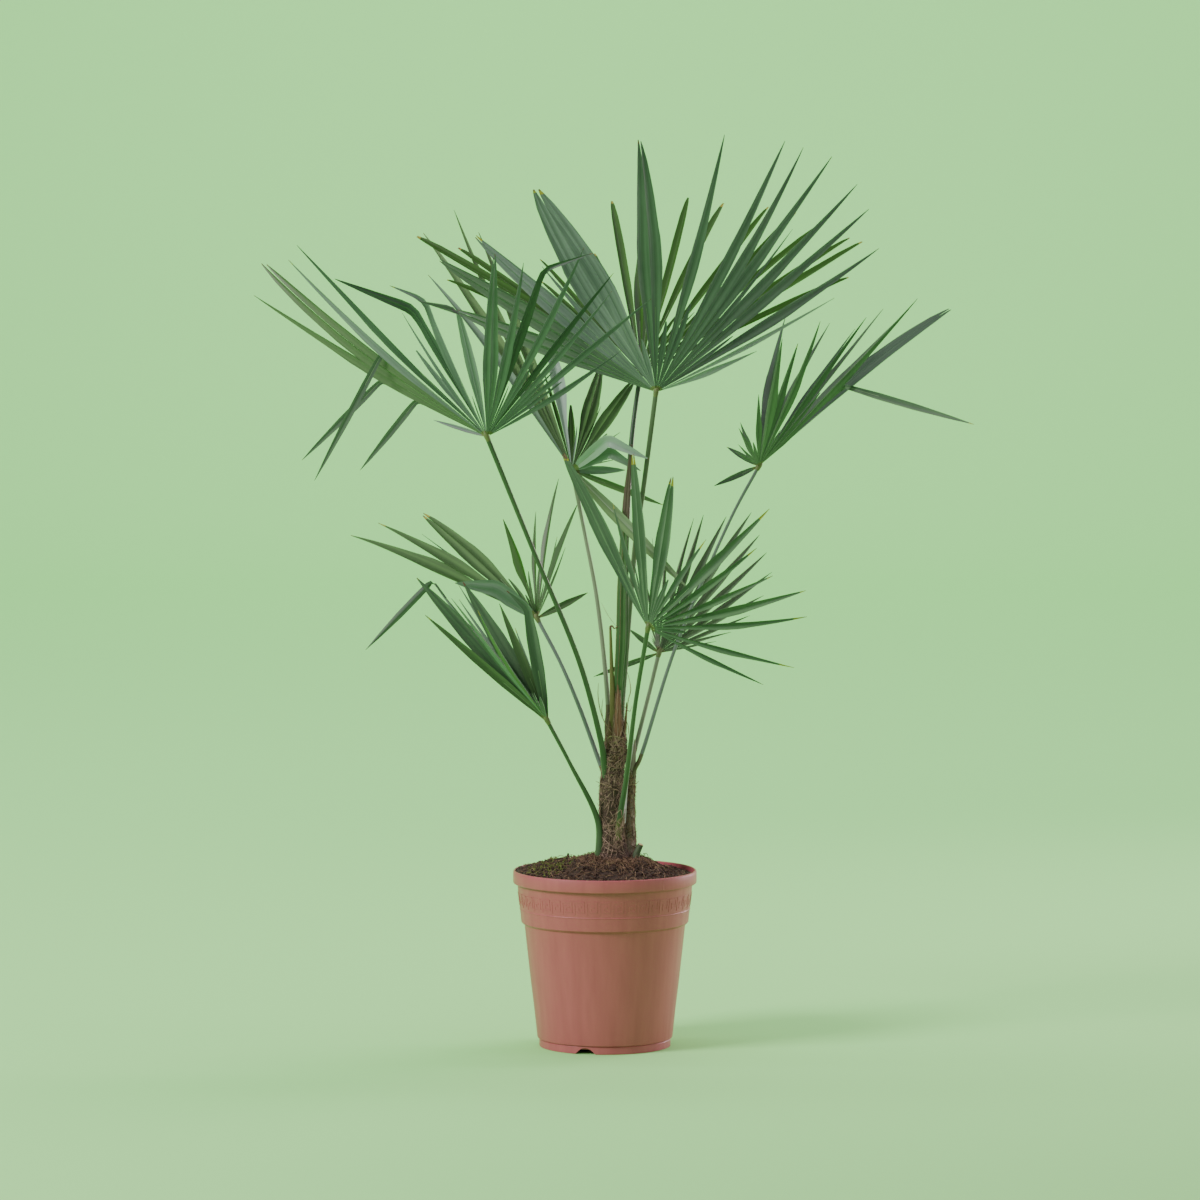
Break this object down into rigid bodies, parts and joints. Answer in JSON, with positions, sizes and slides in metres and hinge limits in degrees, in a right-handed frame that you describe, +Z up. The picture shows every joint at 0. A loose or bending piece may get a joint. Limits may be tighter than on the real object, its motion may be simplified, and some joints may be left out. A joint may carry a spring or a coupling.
{
  "type": "potted windmill palm",
  "caption": "Young windmill palm with a short fibrous trunk, fan leaves on long thin stalks and round drooping leaflets, growing in a plain round plastic nursery pot with soil.",
  "frame": {"origin": "on the ground plane under the middle of the part, which is the axis of the pot", "axes": "+Z up, +X to the right in the picture, +Y away from the camera"},
  "size_m": [0.5056, 0.3281, 0.6477],
  "materials": {
    "pot_plastic": "satin",
    "peat_soil": "rough",
    "trunk_fibre": "fibrous",
    "leaf_stalk": "satin",
    "leaf_blade": "satin",
    "dry_leaf": "dull"
  },
  "bodies": {
    "root": {"pot": "pot_plastic", "soil": "peat_soil", "trunk": "trunk_fibre", "side_stem": "trunk_fibre", "cut_stub": "leaf_stalk", "spear_leaf": "leaf_blade", "dead_stalk": "dry_leaf", "stalk_a": "leaf_stalk", "stalk_d": "leaf_stalk", "stalk_b": "leaf_stalk", "stalk_c": "leaf_stalk", "stalk_e": "leaf_stalk", "stalk_f": "leaf_stalk", "stalk_g": "leaf_stalk", "stalk_h": "leaf_stalk", "stalk_i": "leaf_stalk", "frond_a": "leaf_blade", "frond_d": "leaf_blade", "frond_b": "leaf_blade", "frond_c": "leaf_blade", "frond_e": "leaf_blade", "frond_f": "leaf_blade", "frond_g": "leaf_blade", "frond_h": "leaf_blade", "frond_i": "leaf_blade", "frond_b_hanging_1": "leaf_blade", "frond_b_hanging_2": "leaf_blade", "frond_b_hanging_3": "leaf_blade", "frond_e_hanging": "leaf_blade", "frond_i_hanging": "leaf_blade"}
  },
  "joints": []
}
